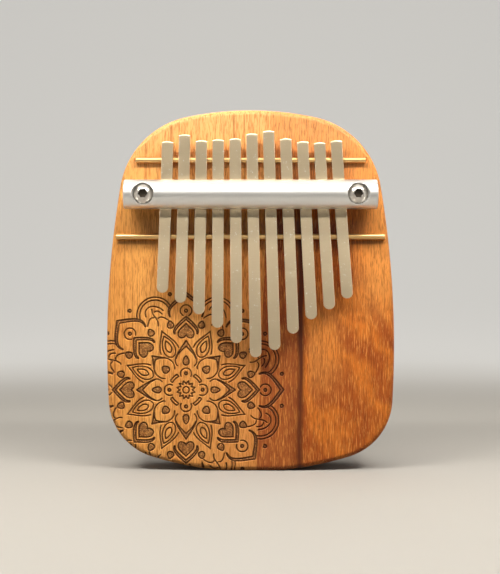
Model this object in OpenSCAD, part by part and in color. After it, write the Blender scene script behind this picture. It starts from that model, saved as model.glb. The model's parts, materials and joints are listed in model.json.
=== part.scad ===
// Kalimba: a two-tone wooden sound body with steel tines held across
// brass rods by a round clamp bar. It stands on the flat at its lower
// edge. The front faces -Y, +Z is up, sizes are in millimetres.

/* [Body] */
// Greatest width of the sound body
body_width = 150; // [136:1:168]
// Height of the sound body
body_height = 188; // [172:1:210]
// Thickness of the sound body, back plate included
body_depth = 34; // [30:1:44]
// Height at which the body is widest
widest_height = 65; // [60:1:72]
// Radius of the long side curves
side_radius = 500; // [420:10:700]
// Radius of the top curve
top_radius = 160; // [145:5:180]
// Radius of the bottom curve
bottom_radius = 175; // [160:5:200]
// Radius of the upper corners
top_corner_radius = 44; // [36:1:50]
// Radius of the lower corners
low_corner_radius = 32; // [26:1:40]
// Width of the flat that the body stands on
foot_width = 30; // [20:1:40]
// Radius of the rounded front and back edges
edge_radius = 3; // [1.5:0.25:3.5]
// Sideways place of the glue seam at the top of the body
seam_top = 10.5; // [6:0.5:16]
// Sideways place of the glue seam at the foot
seam_foot = 3; // [0:0.5:6]

/* [Chamber] */
// Thickness of the front wall over the chamber
front_wall = 5; // [4:0.5:8]
// Thickness of the wall around the chamber
side_wall = 12; // [10:1:16]
// Thickness of the back plate
back_thickness = 4; // [3.75:0.25:6]
// Distance from the clamp bar's axis down to the chamber
chamber_drop = 17; // [15:0.5:30]
// Diameter of the sound hole in the back plate
sound_hole_diameter = 24; // [16:1:32]

/* [Clamp] */
// Diameter of the clamp bar
bar_diameter = 15; // [14:0.5:18]
// Distance from the bar's ends to the body's outline
bar_margin = 4.4; // [3:0.2:8]
// Distance from the top of the body down to the clamp bar's axis
bar_drop = 45; // [42:0.5:50]
// Bevel on the bar's ends
bar_bevel = 0.7; // [0.3:0.1:1.2]
// Distance from the bar's ends to the clamp screws
screw_inset = 10; // [9:0.25:12]
// Thread diameter of the clamp screws
screw_diameter = 6; // [5:0.5:6]
// Length of the clamp screws under the head
screw_length = 25; // [24:0.5:27]
// Bevel on the clamp screws' ends
screw_bevel = 0.75; // [0.5:0.05:1]
// Diameter of the screw heads
head_diameter = 10.5; // [9.5:0.25:11]
// Height of the domed screw heads
head_height = 3.3; // [3:0.1:3.5]
// Width across the flats of the hexagon socket
socket_width = 4; // [3:0.5:4]
// Depth of the hexagon socket
socket_depth = 2.1; // [1.5:0.1:2.3]
// Outer diameter of the threaded inserts
insert_diameter = 9; // [8:0.25:10]
// Length of the threaded inserts
insert_length = 13; // [12.5:0.5:16]

/* [Rods] */
// Diameter of the two brass rods
rod_diameter = 3; // [2.75:0.25:3.5]
// How deep the rods lie in their grooves
rod_sink = 0.4; // [0.3:0.05:0.6]
// Height of the upper rod above the bar's axis
upper_rod_offset = 18.5; // [16:0.5:20]
// Depth of the bridge rod below the bar's axis
bridge_rod_offset = 21.2; // [18:0.1:24]
// Distance from the upper rod's ends to the body's outline
upper_rod_margin = 4; // [3.5:0.25:8]
// Distance from the bridge rod's ends to the body's outline
bridge_rod_margin = 2; // [1.75:0.25:6]
// How far each groove runs past the end of its rod
groove_run = 1; // [0.5:0.25:1.5]

/* [Tines] */
// Width of a tine
tine_width = 6; // [5:0.25:6.5]
// Thickness of a tine
tine_thickness = 1; // [0.8:0.05:1.2]
// Distance from the clamp screws to the outermost tines
tine_margin = 9.5; // [8.5:0.25:12]
// Sideways place of the middle tine under the bar
tine_shift = 1.2; // [0:0.1:1.5]
// Lean of the middle tine
fan_lean = 1; // [0:0.1:1.2]
// Extra lean from each tine to the next
fan_step = 0.6; // [0.4:0.05:0.7]
// Free length of the lowest-sounding tine below the bridge rod
longest_tine = 62.3; // [56:0.1:68]
// Length behind the bridge that also bends when a tine sounds
end_correction = 4; // [3:0.5:5]
// How far the bar presses the tines below the rods' tops
tine_press = 1.2; // [0.8:0.1:1.4]
// How far each tine runs past the upper rod, from left to right
tail_overhang = [9.5, 13, 10, 10.5, 11, 13.5, 15, 11, 9.5, 9, 10];
// Radius of the domed tail ends
tail_radius = 7; // [4:0.5:12]

/* [Clearances] */
// Gap between the tines and the rods and bar
tine_gap = 0.3; // [0.3:0.05:0.4]
// Gap between the clamped and the free part of a tine
split_gap = 0.12; // [0.1:0.01:0.2]
// Gap between a rod and its groove
groove_gap = 0.1; // [0.05:0.05:0.15]
// Gap between a screw and the bar's hole
hole_gap = 0.3; // [0.2:0.05:0.4]
// Gap between a screw head and its counterbore
head_gap = 0.25; // [0.15:0.05:0.3]
// How far a screw head lies below the front of the bar
head_recess = 0.1; // [0.05:0.05:0.3]
// Gap between a screw and its insert
thread_gap = 0.1; // [0.05:0.05:0.2]
// Gap between an insert and the wood
insert_gap = 0.1; // [0.05:0.05:0.2]

/* [View] */
// Which piece to draw

/* [Hidden] */
$fa = 2;
$fs = 0.3;

// Extra reach of a cut past the face it starts from
over = 1;

// How far a stretch of rim runs into the body and out of it
rim_depth = 5;
rim_reach = 20;

// How far the corner curves stand proud of the long ones, and how far
// the long ones run on under them
corner_height = 0.02;
corner_overlap = 0.4;

// The body's front, its back and the joint of planks and back plate
front_y = -body_depth / 2;
back_y = body_depth / 2;
joint_y = back_y - back_thickness;

// Centres of the outline's four long curves and of the corners between
foot_drop = bottom_radius - sqrt(pow(bottom_radius, 2) - pow(foot_width / 2, 2));
side_centre = [body_width / 2 - side_radius, widest_height];
bottom_centre = [0, bottom_radius - foot_drop];
top_centre = [0, body_height - top_radius];
low_corner = nested_centre(side_centre, side_radius, bottom_centre, bottom_radius, low_corner_radius, -1);
top_corner = nested_centre(side_centre, side_radius, top_centre, top_radius, top_corner_radius, 1);

// Headings at which one curve of the outline passes into the next
low_turn = heading(bottom_centre, low_corner);
low_side_turn = heading(side_centre, low_corner);
top_side_turn = heading(side_centre, top_corner);
top_turn = heading(top_centre, top_corner);

// The outline as arcs, each with centre, radius, first and last heading,
// and how far it stands proud of its neighbours
right_arcs = [
    [low_corner, low_corner_radius, low_turn, low_side_turn, corner_height],
    [side_centre, side_radius, low_side_turn, top_side_turn, 0],
    [top_corner, top_corner_radius, top_side_turn, top_turn, corner_height]
];
arcs = concat(
    [[bottom_centre, bottom_radius, -180 - low_turn, low_turn, 0]],
    right_arcs,
    [[top_centre, top_radius, top_turn, 180 - top_turn, 0]],
    [for (k = [2 : -1 : 0]) mirrored(right_arcs[k])]
);

// Half the body's width at a height, on its side or upper corner
function half_width(z) =
    z > on_arc(right_arcs[1], 0, top_side_turn)[1]
        ? top_corner[0] + sqrt(pow(top_corner_radius, 2) - pow(z - top_corner[1], 2))
        : side_centre[0] + sqrt(pow(side_radius, 2) - pow(z - side_centre[1], 2));

// Heights of the bar, the rods, the chamber's top and the sound hole
bar_height = body_height - bar_drop;
upper_rod_height = bar_height + upper_rod_offset;
bridge_rod_height = bar_height - bridge_rod_offset;
chamber_top = bar_height - chamber_drop;
sound_hole_height = (side_wall + chamber_top) / 2;

// Lengths across the front, and the tines' share between the screws
bar_length = 2 * (half_width(bar_height) - bar_margin);
upper_rod_length = 2 * (half_width(upper_rod_height) - upper_rod_margin);
bridge_rod_length = 2 * (half_width(bridge_rod_height) - bridge_rod_margin);
screw_spacing = bar_length - 2 * screw_inset;
tine_count = len(tail_overhang);
middle_tine = (tine_count + 1) / 2;
tine_pitch = (screw_spacing - 2 * tine_margin) / (tine_count - 1);

// Heights above the front face: rod axes, tine backs and the bar's axis
rod_axis = rod_diameter / 2 - rod_sink;
tine_rest = rod_diameter - rod_sink + tine_gap;
tine_low = tine_rest - tine_press;
bar_axis = tine_low + tine_thickness + tine_gap + bar_diameter / 2;

// Slope of the tines below the bar
blade_slope = atan(tine_press / bridge_rod_offset);

// The counterbore takes the whole head
counterbore_diameter = head_diameter + 2 * head_gap;
counterbore_depth = head_height + head_recess;
head_seat = bar_axis + bar_diameter / 2 - counterbore_depth;

// A tine's number of semitones above the lowest, in a five-note scale: the
// lowest is in the middle, and the next ones lie right and left in turn
octave = 12;
scale_steps = [0, 2, 4, 7, 9];
function rank(i) = i > middle_tine ? 2 * (i - middle_tine) - 1 : 2 * (middle_tine - i);
function semitones(i) =
    octave * floor(rank(i) / len(scale_steps)) + scale_steps[rank(i) % len(scale_steps)];

// Free length of a tine: its pitch rises with the inverse square of length
function free_length(i) =
    (longest_tine + end_correction) * pow(2, -semitones(i) / (2 * octave)) - end_correction;

// Sideways place and lean of a tine
function tine_x(i) = tine_shift + (i - middle_tine) * tine_pitch;
function lean(i) = fan_lean + (i - middle_tine) * fan_step;

// Heading from one point of the outline's plane to another
function heading(from, to) = atan2(to[1] - from[1], to[0] - from[0]);

// Centre of a circle that touches two larger ones from the inside
function nested_centre(a, ra, b, rb, r, up) =
    let (v = b - a)
    let (d = norm(v))
    let (s = (pow(ra - r, 2) - pow(rb - r, 2) + d * d) / (2 * d))
    let (h = sqrt(pow(ra - r, 2) - s * s))
    a + v * s / d + [-v[1], v[0]] * up * h / d;

// An arc on the other side of the body
function mirrored(arc) = [[-arc[0][0], arc[0][1]], arc[1], 180 - arc[3], 180 - arc[2], arc[4]];

// A point of an arc, or of the arc that runs inside it
function on_arc(arc, inset, angle) = arc[0] + (arc[1] - inset) * [cos(angle), sin(angle)];

// The stretch of the body's rim that belongs to one arc
module rim(arc, inset) {
    lap = arc[4] > 0 ? 0 : corner_overlap / arc[1] * 180 / PI;
    polygon([
        on_arc(arc, inset + rim_depth + over, arc[2] - lap),
        on_arc(arc, -rim_reach, arc[2] - lap),
        on_arc(arc, -rim_reach, arc[3] + lap),
        on_arc(arc, inset + rim_depth + over, arc[3] + lap)
    ]);
}

// The body inside its rim
module core(inset) {
    polygon([for (arc = arcs) on_arc(arc, inset + rim_depth, arc[2])]);
}

// The outline that runs inside the body's own at an even distance
module inner_outline(inset) {
    core(inset);
    for (arc = arcs)
        intersection() {
            translate(arc[0])
                circle(arc[1] + arc[4] - inset);
            rim(arc, inset);
        }
}

// Upright slab between two depths, drawn from a front view
module slab(from_y, to_y) {
    translate([0, to_y, 0])
        rotate([90, 0, 0])
            linear_extrude(to_y - from_y)
                children();
}

// Round disc as deep as the planks, with its front edge rounded over
module edged_disc(centre, radius) {
    translate([centre[0], joint_y, centre[1]])
        rotate([90, 0, 0])
            rotate_extrude()
                difference() {
                    square([radius, joint_y - front_y]);
                    translate([radius - edge_radius, joint_y - front_y - edge_radius])
                        difference() {
                            square(edge_radius + over);
                            circle(edge_radius);
                        }
                }
}

// Space under the foot
module below_foot() {
    translate([-body_width, -body_depth, -body_height])
        cube([2 * body_width, 2 * body_depth, body_height]);
}

// Everything left of the glue seam
module left_of_seam() {
    slab(-body_depth, body_depth)
        polygon([
            [seam_foot, 0],
            [seam_top, body_height],
            [seam_top, body_height + over],
            [-body_width, body_height + over],
            [-body_width, -over],
            [seam_foot, -over]
        ]);
}

// A hole along the depth at a clamp screw, between two depths
module at_screw(side, from_y, to_y, diameter) {
    translate([side * screw_spacing / 2, to_y, bar_height])
        rotate([90, 0, 0])
            cylinder(d = diameter, h = to_y - from_y);
}

// A round piece across the front
module across(height, above_front, diameter, length) {
    translate([-length / 2, front_y - above_front, height])
        rotate([0, 90, 0])
            cylinder(d = diameter, h = length);
}

// Body-shaped slab with its front edge rounded and its foot cut flat
module edged_slab() {
    difference() {
        union() {
            slab(front_y, joint_y)
                core(0);
            for (arc = arcs)
                intersection() {
                    edged_disc(arc[0], arc[1] + arc[4]);
                    slab(front_y - over, joint_y + over)
                        rim(arc, 0);
                }
        }
        below_foot();
    }
}

// Both planks together, with chamber, grooves and insert holes
module board() {
    difference() {
        edged_slab();
        slab(front_y + front_wall, joint_y + over)
            intersection() {
                inner_outline(side_wall);
                translate([-body_width, 0])
                    square([2 * body_width, chamber_top]);
            }
        across(upper_rod_height, rod_axis,
            rod_diameter + 2 * groove_gap, upper_rod_length + 2 * groove_run);
        across(bridge_rod_height, rod_axis,
            rod_diameter + 2 * groove_gap, bridge_rod_length + 2 * groove_run);
        for (side = [-1, 1])
            at_screw(side, front_y - over, front_y + insert_length, insert_diameter + 2 * insert_gap);
    }
}

module left_plank() {
    color("peru")
        intersection() {
            board();
            left_of_seam();
        }
}

module right_plank() {
    color("sienna")
        difference() {
            board();
            left_of_seam();
        }
}

module back_plate() {
    color("burlywood")
        difference() {
            rotate(180)
                edged_slab();
            translate([-body_width, joint_y - body_depth, -over])
                cube([2 * body_width, body_depth, 2 * body_height]);
            translate([0, back_y + over, sound_hole_height])
                rotate([90, 0, 0])
                    cylinder(d = sound_hole_diameter, h = back_thickness + 2 * over);
        }
}

// Brass sleeve that the screw is threaded into
module insert(side) {
    color("goldenrod")
        difference() {
            at_screw(side, front_y, front_y + insert_length, insert_diameter);
            at_screw(side, front_y - over, front_y + insert_length + over, screw_diameter + 2 * thread_gap);
        }
}

// Domed screw with a hexagon socket, one corner of the socket pointing down
module screw(side) {
    dome_radius = (pow(head_height, 2) + pow(head_diameter / 2, 2)) / (2 * head_height);
    color("silver")
        translate([side * screw_spacing / 2, front_y - head_seat, bar_height])
            rotate([90, 0, 0])
                difference() {
                    union() {
                        intersection() {
                            translate([0, 0, head_height - dome_radius])
                                sphere(dome_radius);
                            cylinder(d = 2 * head_diameter, h = head_height + over);
                        }
                        rotate_extrude()
                            polygon([
                                [0, -screw_length],
                                [screw_diameter / 2 - screw_bevel, -screw_length],
                                [screw_diameter / 2, screw_bevel - screw_length],
                                [screw_diameter / 2, over],
                                [0, over]
                            ]);
                    }
                    translate([0, 0, head_height - socket_depth])
                        rotate(30)
                            cylinder(d = socket_width / cos(30), h = socket_depth + over, $fn = 6);
                }
}

module clamp_bar() {
    color("gainsboro")
        difference() {
            translate([-bar_length / 2, front_y - bar_axis, bar_height])
                rotate([0, 90, 0])
                    rotate_extrude()
                        polygon([
                            [0, 0],
                            [bar_diameter / 2 - bar_bevel, 0],
                            [bar_diameter / 2, bar_bevel],
                            [bar_diameter / 2, bar_length - bar_bevel],
                            [bar_diameter / 2 - bar_bevel, bar_length],
                            [0, bar_length]
                        ]);
            for (side = [-1, 1]) {
                at_screw(side, front_y - bar_axis - bar_diameter, front_y, screw_diameter + 2 * hole_gap);
                at_screw(side, front_y - bar_axis - bar_diameter, front_y - head_seat, counterbore_diameter);
            }
        }
}

module rod(height, length) {
    color("gold")
        across(height, rod_axis, rod_diameter, length);
}

// Place of a tine under the bar, on the front face, leaning with the fan
module at_tine(i) {
    translate([tine_x(i), front_y, bar_height])
        rotate([0, -lean(i), 0])
            children();
}

// Clamped part of a tine, from its tail over the upper rod and under the bar
module root(i) {
    low = split_gap / 2 - bridge_rod_offset;
    tail = upper_rod_offset + tail_overhang[i - 1];
    low_rise = tine_low + tine_press * -low / bridge_rod_offset;
    tail_rise = tine_low + tine_press * tail / upper_rod_offset;
    color("lightsteelblue")
        at_tine(i)
            intersection() {
                translate([-tine_width / 2, 0, 0])
                    rotate([90, 0, 90])
                        linear_extrude(tine_width)
                            polygon([
                                [-low_rise, low],
                                [-tine_low, 0],
                                [-tail_rise, tail],
                                [-tail_rise - tine_thickness, tail],
                                [-tine_low - tine_thickness, 0],
                                [-low_rise - tine_thickness, low]
                            ]);
                slab(-bar_diameter, 0) {
                    translate([-tine_width, low - over])
                        square([2 * tine_width, tail - tail_radius - low + over]);
                    intersection() {
                        translate([0, tail - tail_radius])
                            circle(tail_radius);
                        translate([-tine_width, tail - tail_radius])
                            square([2 * tine_width, tail_radius]);
                    }
                }
            }
}

// Free part of a tine, from the bridge rod to its rounded tip
module blade(i) {
    length = free_length(i);
    color("lightgrey")
        at_tine(i)
            translate([0, -tine_rest, -bridge_rod_offset])
                rotate([-blade_slope, 0, 0])
                    slab(-tine_thickness, 0) {
                        translate([-tine_width / 2, tine_width / 2 - length])
                            square([tine_width, length - tine_width / 2 - split_gap / 2]);
                        translate([0, tine_width / 2 - length])
                            circle(tine_width / 2);
                    }
}

left_plank();
right_plank();
back_plate();
insert(-1);  // left_insert
insert(1);  // right_insert
screw(-1);  // left_screw
screw(1);  // right_screw
clamp_bar();
rod(upper_rod_height, upper_rod_length);  // upper_rod
rod(bridge_rod_height, bridge_rod_length);  // bridge_rod
root(1);  // tine_01_root
blade(1);  // tine_01_blade
root(2);  // tine_02_root
blade(2);  // tine_02_blade
root(3);  // tine_03_root
blade(3);  // tine_03_blade
root(4);  // tine_04_root
blade(4);  // tine_04_blade
root(5);  // tine_05_root
blade(5);  // tine_05_blade
root(6);  // tine_06_root
blade(6);  // tine_06_blade
root(7);  // tine_07_root
blade(7);  // tine_07_blade
root(8);  // tine_08_root
blade(8);  // tine_08_blade
root(9);  // tine_09_root
blade(9);  // tine_09_blade
root(10);  // tine_10_root
blade(10);  // tine_10_blade
root(11);  // tine_11_root
blade(11);  // tine_11_blade
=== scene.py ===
"""Kalimba: carved planks, steel tines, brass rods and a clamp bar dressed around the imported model.

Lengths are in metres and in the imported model's frame: the front faces -Y and +Z is up.
Points of the front face are complex numbers, x + iz.
"""

import json
import math

import bmesh
import bpy
import numpy as np
from bpy.props import FloatProperty, FloatVectorProperty, PointerProperty
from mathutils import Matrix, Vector
from mathutils.geometry import delaunay_2d_cdt


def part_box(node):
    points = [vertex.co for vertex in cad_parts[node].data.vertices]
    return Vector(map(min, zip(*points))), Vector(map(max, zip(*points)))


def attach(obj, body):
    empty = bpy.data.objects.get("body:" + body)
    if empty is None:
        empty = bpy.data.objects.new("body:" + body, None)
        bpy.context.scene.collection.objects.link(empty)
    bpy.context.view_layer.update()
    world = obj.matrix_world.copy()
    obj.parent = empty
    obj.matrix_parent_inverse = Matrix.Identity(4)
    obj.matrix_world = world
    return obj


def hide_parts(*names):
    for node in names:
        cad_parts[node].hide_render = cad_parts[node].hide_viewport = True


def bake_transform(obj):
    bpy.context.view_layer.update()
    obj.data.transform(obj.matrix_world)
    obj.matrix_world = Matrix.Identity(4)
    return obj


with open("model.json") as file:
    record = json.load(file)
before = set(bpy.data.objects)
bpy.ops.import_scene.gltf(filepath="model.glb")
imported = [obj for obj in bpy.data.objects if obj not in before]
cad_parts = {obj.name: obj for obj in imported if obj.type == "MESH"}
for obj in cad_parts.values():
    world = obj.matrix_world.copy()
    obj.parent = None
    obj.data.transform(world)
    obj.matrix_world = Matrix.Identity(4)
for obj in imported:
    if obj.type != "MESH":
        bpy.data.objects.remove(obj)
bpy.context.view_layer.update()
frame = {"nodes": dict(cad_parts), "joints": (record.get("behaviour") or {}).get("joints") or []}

bl_info = {
    "name": "Kalimba",
    "version": (1, 0, 0),
    "blender": (4, 5, 0),
    "location": "View3D > Sidebar > Kalimba",
    "description": "Dresses the packed kalimba and sets up its studio",
    "category": "Object",
}

MM = 0.001

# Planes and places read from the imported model.
LEFT_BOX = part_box("left_plank")
RIGHT_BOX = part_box("right_plank")
BAR_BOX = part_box("clamp_bar")
FRONT_Y = LEFT_BOX[0].y
JOINT_Y = LEFT_BOX[1].y
HALF_WIDTH = RIGHT_BOX[1].x
HEIGHT = LEFT_BOX[1].z
BAR_Z = (BAR_BOX[0].z + BAR_BOX[1].z) / 2
BAR_Y = (BAR_BOX[0].y + BAR_BOX[1].y) / 2
BAR_RADIUS = (BAR_BOX[1].z - BAR_BOX[0].z) / 2
ROD_NODES = ("upper_rod", "bridge_rod")
SCREW_NODES = ("left_screw", "right_screw")
TINE_NAMES = [f"tine_{number:02d}" for number in range(1, 12)]

# The body's outline: radii of its curves, the height of its widest place and its foot.
SIDE_RADIUS = 500 * MM
TOP_RADIUS = 160 * MM
BOTTOM_RADIUS = 175 * MM
TOP_CORNER_RADIUS = 44 * MM
LOW_CORNER_RADIUS = 32 * MM
WIDEST_HEIGHT = 65 * MM
HALF_FOOT = 15 * MM
EDGE_RADIUS = 3 * MM
SEAM_FOOT = 3 * MM
SEAM_TOP = 10.5 * MM

# The chamber behind the front wall, and the fine line where the back plate is glued on.
CHAMBER_WALL = 12 * MM
CHAMBER_TOP = 126 * MM
CHAMBER_FRONT = FRONT_Y + 5 * MM
GLUE_LINE = 0.2 * MM

# Twice the area under which a triangle counts as a sliver, and the distances under which points
# are merged and edges dropped.
SLIVER = 1e-3 * MM * MM
MERGE = 1e-7
SHORT_EDGE = 1e-8

# Spacing of points along the outline and on plain inner forms, steps over the rounded edge, and how
# far every other point of the seam is set aside so that no three of them lie in line.
OUTLINE_STEP = 0.25 * MM
COARSE_STEP = 2 * MM
EDGE_STEPS = 14
SEAM_SHAKE = 0.001 * MM


# Shading


# Finishes of the metals: the darker tint of their tool marks, the roughness, how many marks there
# are in a millimetre along each axis, and the depth of the marks and the wear where they differ.
METALS = {
    "brass": {"tint": (0.54, 0.32, 0.11), "roughness": 0.34, "scale": (0.02, 0.5, 0.5), "bump": 0.02},
    "satin_aluminium": {"tint": (0.68, 0.68, 0.67), "roughness": 0.4, "scale": (1.6, 0.04, 0.04)},
    "screw_steel": {"tint": (0.54, 0.51, 0.47), "roughness": 0.3, "scale": (0.6, 0.6, 0.6)},
    "tine_steel": {"tint": (0.71, 0.57, 0.38), "roughness": 0.365, "scale": (0.12, 0.5, 1.6), "wear": 0.7},
}

# Colour of the painted shade in a screw's socket.
SOCKET_SHADE_COLOUR = (0.06, 0.05, 0.04)

# Colour of the small specks on worn steel.
SPECK = (0.97, 0.95, 0.9)


class Socket:
    """An output socket of a node tree. Arithmetic on it adds Math nodes."""

    def __init__(self, tree, out=None):
        self.tree = tree
        self.out = out

    def node(self, kind, settings=(), inputs=(), output=0):
        """Adds a node: its settings are set first, then its sockets get a value or a link."""
        made = self.tree.nodes.new("ShaderNode" + kind)
        for name, value in dict(settings).items():
            setattr(made, name, value)
        for name, value in dict(inputs).items():
            if isinstance(value, Socket):
                self.tree.links.new(value.out, made.inputs[name])
            else:
                made.inputs[name].default_value = value
        return Socket(self.tree, made.outputs[output])

    def math(self, operation, *values):
        """Adds a Math node."""
        return self.node("Math", {"operation": operation}, enumerate(values))

    def __add__(self, other):
        return self.math("ADD", self, other)

    def __radd__(self, other):
        return self.math("ADD", other, self)

    def __sub__(self, other):
        return self.math("SUBTRACT", self, other)

    def __rsub__(self, other):
        return self.math("SUBTRACT", other, self)

    def __mul__(self, other):
        return self.math("MULTIPLY", self, other)

    def __rmul__(self, other):
        return self.math("MULTIPLY", other, self)

    def __abs__(self):
        return self.math("ABSOLUTE", self)

    def between(self, low, high):
        """0 below low, 1 above high, and a smooth rise in between; a low above the high falls instead."""
        ends = {"Value": self, "From Min": low, "From Max": high}
        return self.node("MapRange", {"interpolation_type": "SMOOTHSTEP"}, ends)

    def mix(self, first, second):
        """The first colour where this value is 0 and the second where it is 1."""
        return self.node("Mix", {"data_type": "RGBA"}, {0: self, 6: first, 7: second}, output=2)


def rgba(colour):
    """A colour property as four numbers."""
    return (*colour, 1.0)


def new_material(name):
    """A material with an empty tree but for its output; gives the tree's pen and the output."""
    material = bpy.data.materials.new(name)
    material.use_nodes = True
    material.node_tree.nodes.clear()
    output = material.node_tree.nodes.new("ShaderNodeOutputMaterial")
    return material, Socket(material.node_tree), output


def object_point(pen, scale):
    """Object coordinates stretched by one scale for each axis, in units of a millimetre."""
    place = pen.node("TexCoord", output=3)
    return pen.node("Mapping", {}, {"Vector": place, "Scale": [s / MM for s in scale]})


def noise(pen, scale, detail=2.0, roughness=0.5, distortion=0.0):
    """Noise whose features are about 1/scale millimetres along each axis."""
    inputs = {
        "Vector": object_point(pen, scale),
        "Scale": 1.0,
        "Detail": detail,
        "Roughness": roughness,
        "Distortion": distortion,
    }
    return pen.node("TexNoise", {}, inputs)


def surface(pen, output, inputs, bump=None, strength=0.2, distance=0.1 * MM):
    """A Principled shader on the output, with a bump on its normal if there is a height."""
    if bump is not None:
        height = {"Height": bump, "Strength": strength, "Distance": distance}
        inputs = {**inputs, "Normal": pen.node("Bump", {}, height)}
    shader = pen.node("BsdfPrincipled", {}, inputs)
    pen.tree.links.new(shader.out, output.inputs["Surface"])


def attribute(pen, name):
    """A value carried by the piece's own vertices."""
    return pen.node("Attribute", {"attribute_name": name}, output=2)


def golden_wood(colours):
    """Straight-grained golden wood: broad bands, short flecks, a few long dark lines and open pores.

    It is redder towards the seam and the foot, and paler at the top, where a sheen is painted. Places are
    in millimetres.
    """
    material, pen, output = new_material("golden_wood")
    place = object_point(pen, (1, 1, 1))
    across = pen.node("SeparateXYZ", {}, {0: place})
    height = pen.node("SeparateXYZ", {}, {0: place}, output=2)
    bands = noise(pen, (0.06, 0.05, 0.004), detail=3.0, distortion=0.4)
    lines = noise(pen, (0.8, 0.6, 0.008), detail=3.0, roughness=0.6)
    flecks = noise(pen, (1.9, 1.6, 0.17), detail=3.0, roughness=0.6)
    hair = noise(pen, (2.9, 2.4, 0.06), detail=2.0)
    pores = noise(pen, (3.4, 3.0, 0.2), detail=1.0).between(0.6, 0.7)
    tone = bands.between(0.35, 0.68).mix(rgba(colours.golden_pale), rgba(colours.golden_deep))
    blush = across.between(-70.0, 5.0) * height.between(115.0, 40.0)
    tone = (blush * 0.65).mix(tone, rgba(colours.golden_blush))
    # Painted sheen: the top is paled as if lit by the lamp above it.
    tone = (height.between(135.0, 186.0) * 0.6).mix(tone, rgba(colours.golden_painted_sheen))
    specks = flecks.between(0.49, 0.62) * 0.65 + hair.between(0.48, 0.66) * 0.3
    tone = specks.mix(tone, rgba(colours.golden_fleck))
    tone = (lines.between(0.56, 0.72) * 0.75).mix(tone, rgba(colours.golden_line))
    tone = (pores * 0.35).mix(tone, rgba(colours.golden_line))
    finish_wood(pen, output, colours, tone, flecks * 0.5 + hair * 0.5 - pores)
    return material


def red_wood(colours):
    """Reddish figured wood: slanting patches, short flecks, a darker strip by the seam and a dark streak.

    It is paler right of the streak and at its outer edge, and paler at the top, where a sheen is painted.
    Places are in millimetres.
    """
    material, pen, output = new_material("red_wood")
    place = object_point(pen, (1, 1, 1))
    wander = noise(pen, (0.02, 0.02, 0.014), detail=1.0) - 0.5
    across = pen.node("SeparateXYZ", {}, {0: place}) + wander * 7.0
    height = pen.node("SeparateXYZ", {}, {0: place}, output=2)
    lines = noise(pen, (0.9, 0.7, 0.012), detail=3.0, roughness=0.6)
    flecks = noise(pen, (2.3, 1.9, 0.17), detail=3.0, roughness=0.6)
    dashes = noise(pen, (2.5, 2.1, 0.22), detail=2.0, roughness=0.55)
    pores = noise(pen, (3.0, 2.6, 0.2), detail=1.0).between(0.6, 0.7)
    ripple = noise(pen, (0.05, 0.04, 0.045), detail=2.0)
    turn = (across * 0.035 + height * 0.028 + ripple * 2.2) * (2 * math.pi)
    patches = pen.math("SINE", turn) * 0.5 + 0.5
    strip = across.between(27.0, 22.0) * height.between(175.0, 110.0)
    shade = across.between(19.0, 25.5) * across.between(28.5, 26.0)
    streak = abs(across - 26.4).between(2.8, 0.2) * (lines * 0.6 + 0.55)
    glow = across.between(28.0, 32.0) * across.between(56.0, 36.0)
    glow = glow * height.between(30.0, 55.0) * height.between(105.0, 80.0)
    tone = (patches * 0.85).mix(rgba(colours.red_deep), rgba(colours.red_pale))
    tone = (strip * 0.8).mix(tone, rgba(colours.red_strip))
    # Painted sheen: the top is paled as if lit by the lamp above it.
    tone = (height.between(128.0, 178.0) * 0.9).mix(tone, rgba(colours.red_painted_sheen))
    glow = glow * 0.45 + across.between(46.0, 66.0) * height.between(70.0, 100.0) * 0.75
    tone = glow.mix(tone, rgba(colours.red_fleck))
    tone = (lines.between(0.5, 0.7) * 0.45).mix(tone, rgba(colours.red_line))
    tone = (dashes.between(0.5, 0.63) * 0.5).mix(tone, rgba(colours.red_line))
    tone = (flecks.between(0.53, 0.64) * 0.6).mix(tone, rgba(colours.red_fleck))
    strength = height.between(15.0, 110.0) * 0.35 + 0.62
    stain = (shade * 0.4 + streak * strength) * height.between(150.0, 105.0)
    tone = stain.mix(tone, rgba(colours.red_streak))
    tone = (pores * 0.22).mix(tone, rgba(colours.burnt))
    finish_wood(pen, output, colours, tone, dashes * 0.5 + flecks * 0.5 - pores)
    return material


def back_wood(colours):
    """Plain reddish-golden wood of the back plate, with straight grain and pores."""
    material, pen, output = new_material("back_wood")
    bands = noise(pen, (0.045, 0.05, 0.004), detail=3.0, distortion=0.5)
    lines = noise(pen, (0.7, 0.7, 0.012), detail=4.0, roughness=0.65)
    pores = noise(pen, (3.8, 3.0, 0.22), detail=1.0).between(0.63, 0.72)
    tone = bands.between(0.36, 0.66).mix(rgba(colours.golden_deep), rgba(colours.red_deep))
    tone = (lines.between(0.48, 0.74) * 0.55).mix(tone, rgba(colours.red_line))
    tone = (pores * 0.45).mix(tone, rgba(colours.burnt))
    finish_wood(pen, output, colours, tone, lines - pores, carved=False)
    return material


def finish_wood(pen, output, colours, tone, height, carved=True):
    """Oiled wood over a tone: burnt where it is carved, satin, with the grain felt in its surface."""
    rough = noise(pen, (0.5, 0.5, 0.03), detail=2.0) * 0.14 + 0.4
    if carved:
        soot = noise(pen, (1.7, 1.7, 1.7), detail=3.0, roughness=0.7)
        burn = attribute(pen, "burn").between(0.2, 0.85)
        fill = attribute(pen, "fill") * soot.between(0.3, 0.56)
        tone = (fill * 0.85).mix(tone, rgba(colours.scorched))
        tone = (burn * (soot * 0.5 + 0.6)).mix(tone, rgba(colours.burnt))
        rough = rough + (burn + fill * 0.6) * 0.3
    inputs = {
        "Base Color": tone,
        "Roughness": rough,
        "Specular IOR Level": 0.24,
    }
    surface(pen, output, inputs, bump=height, strength=0.12)


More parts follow.
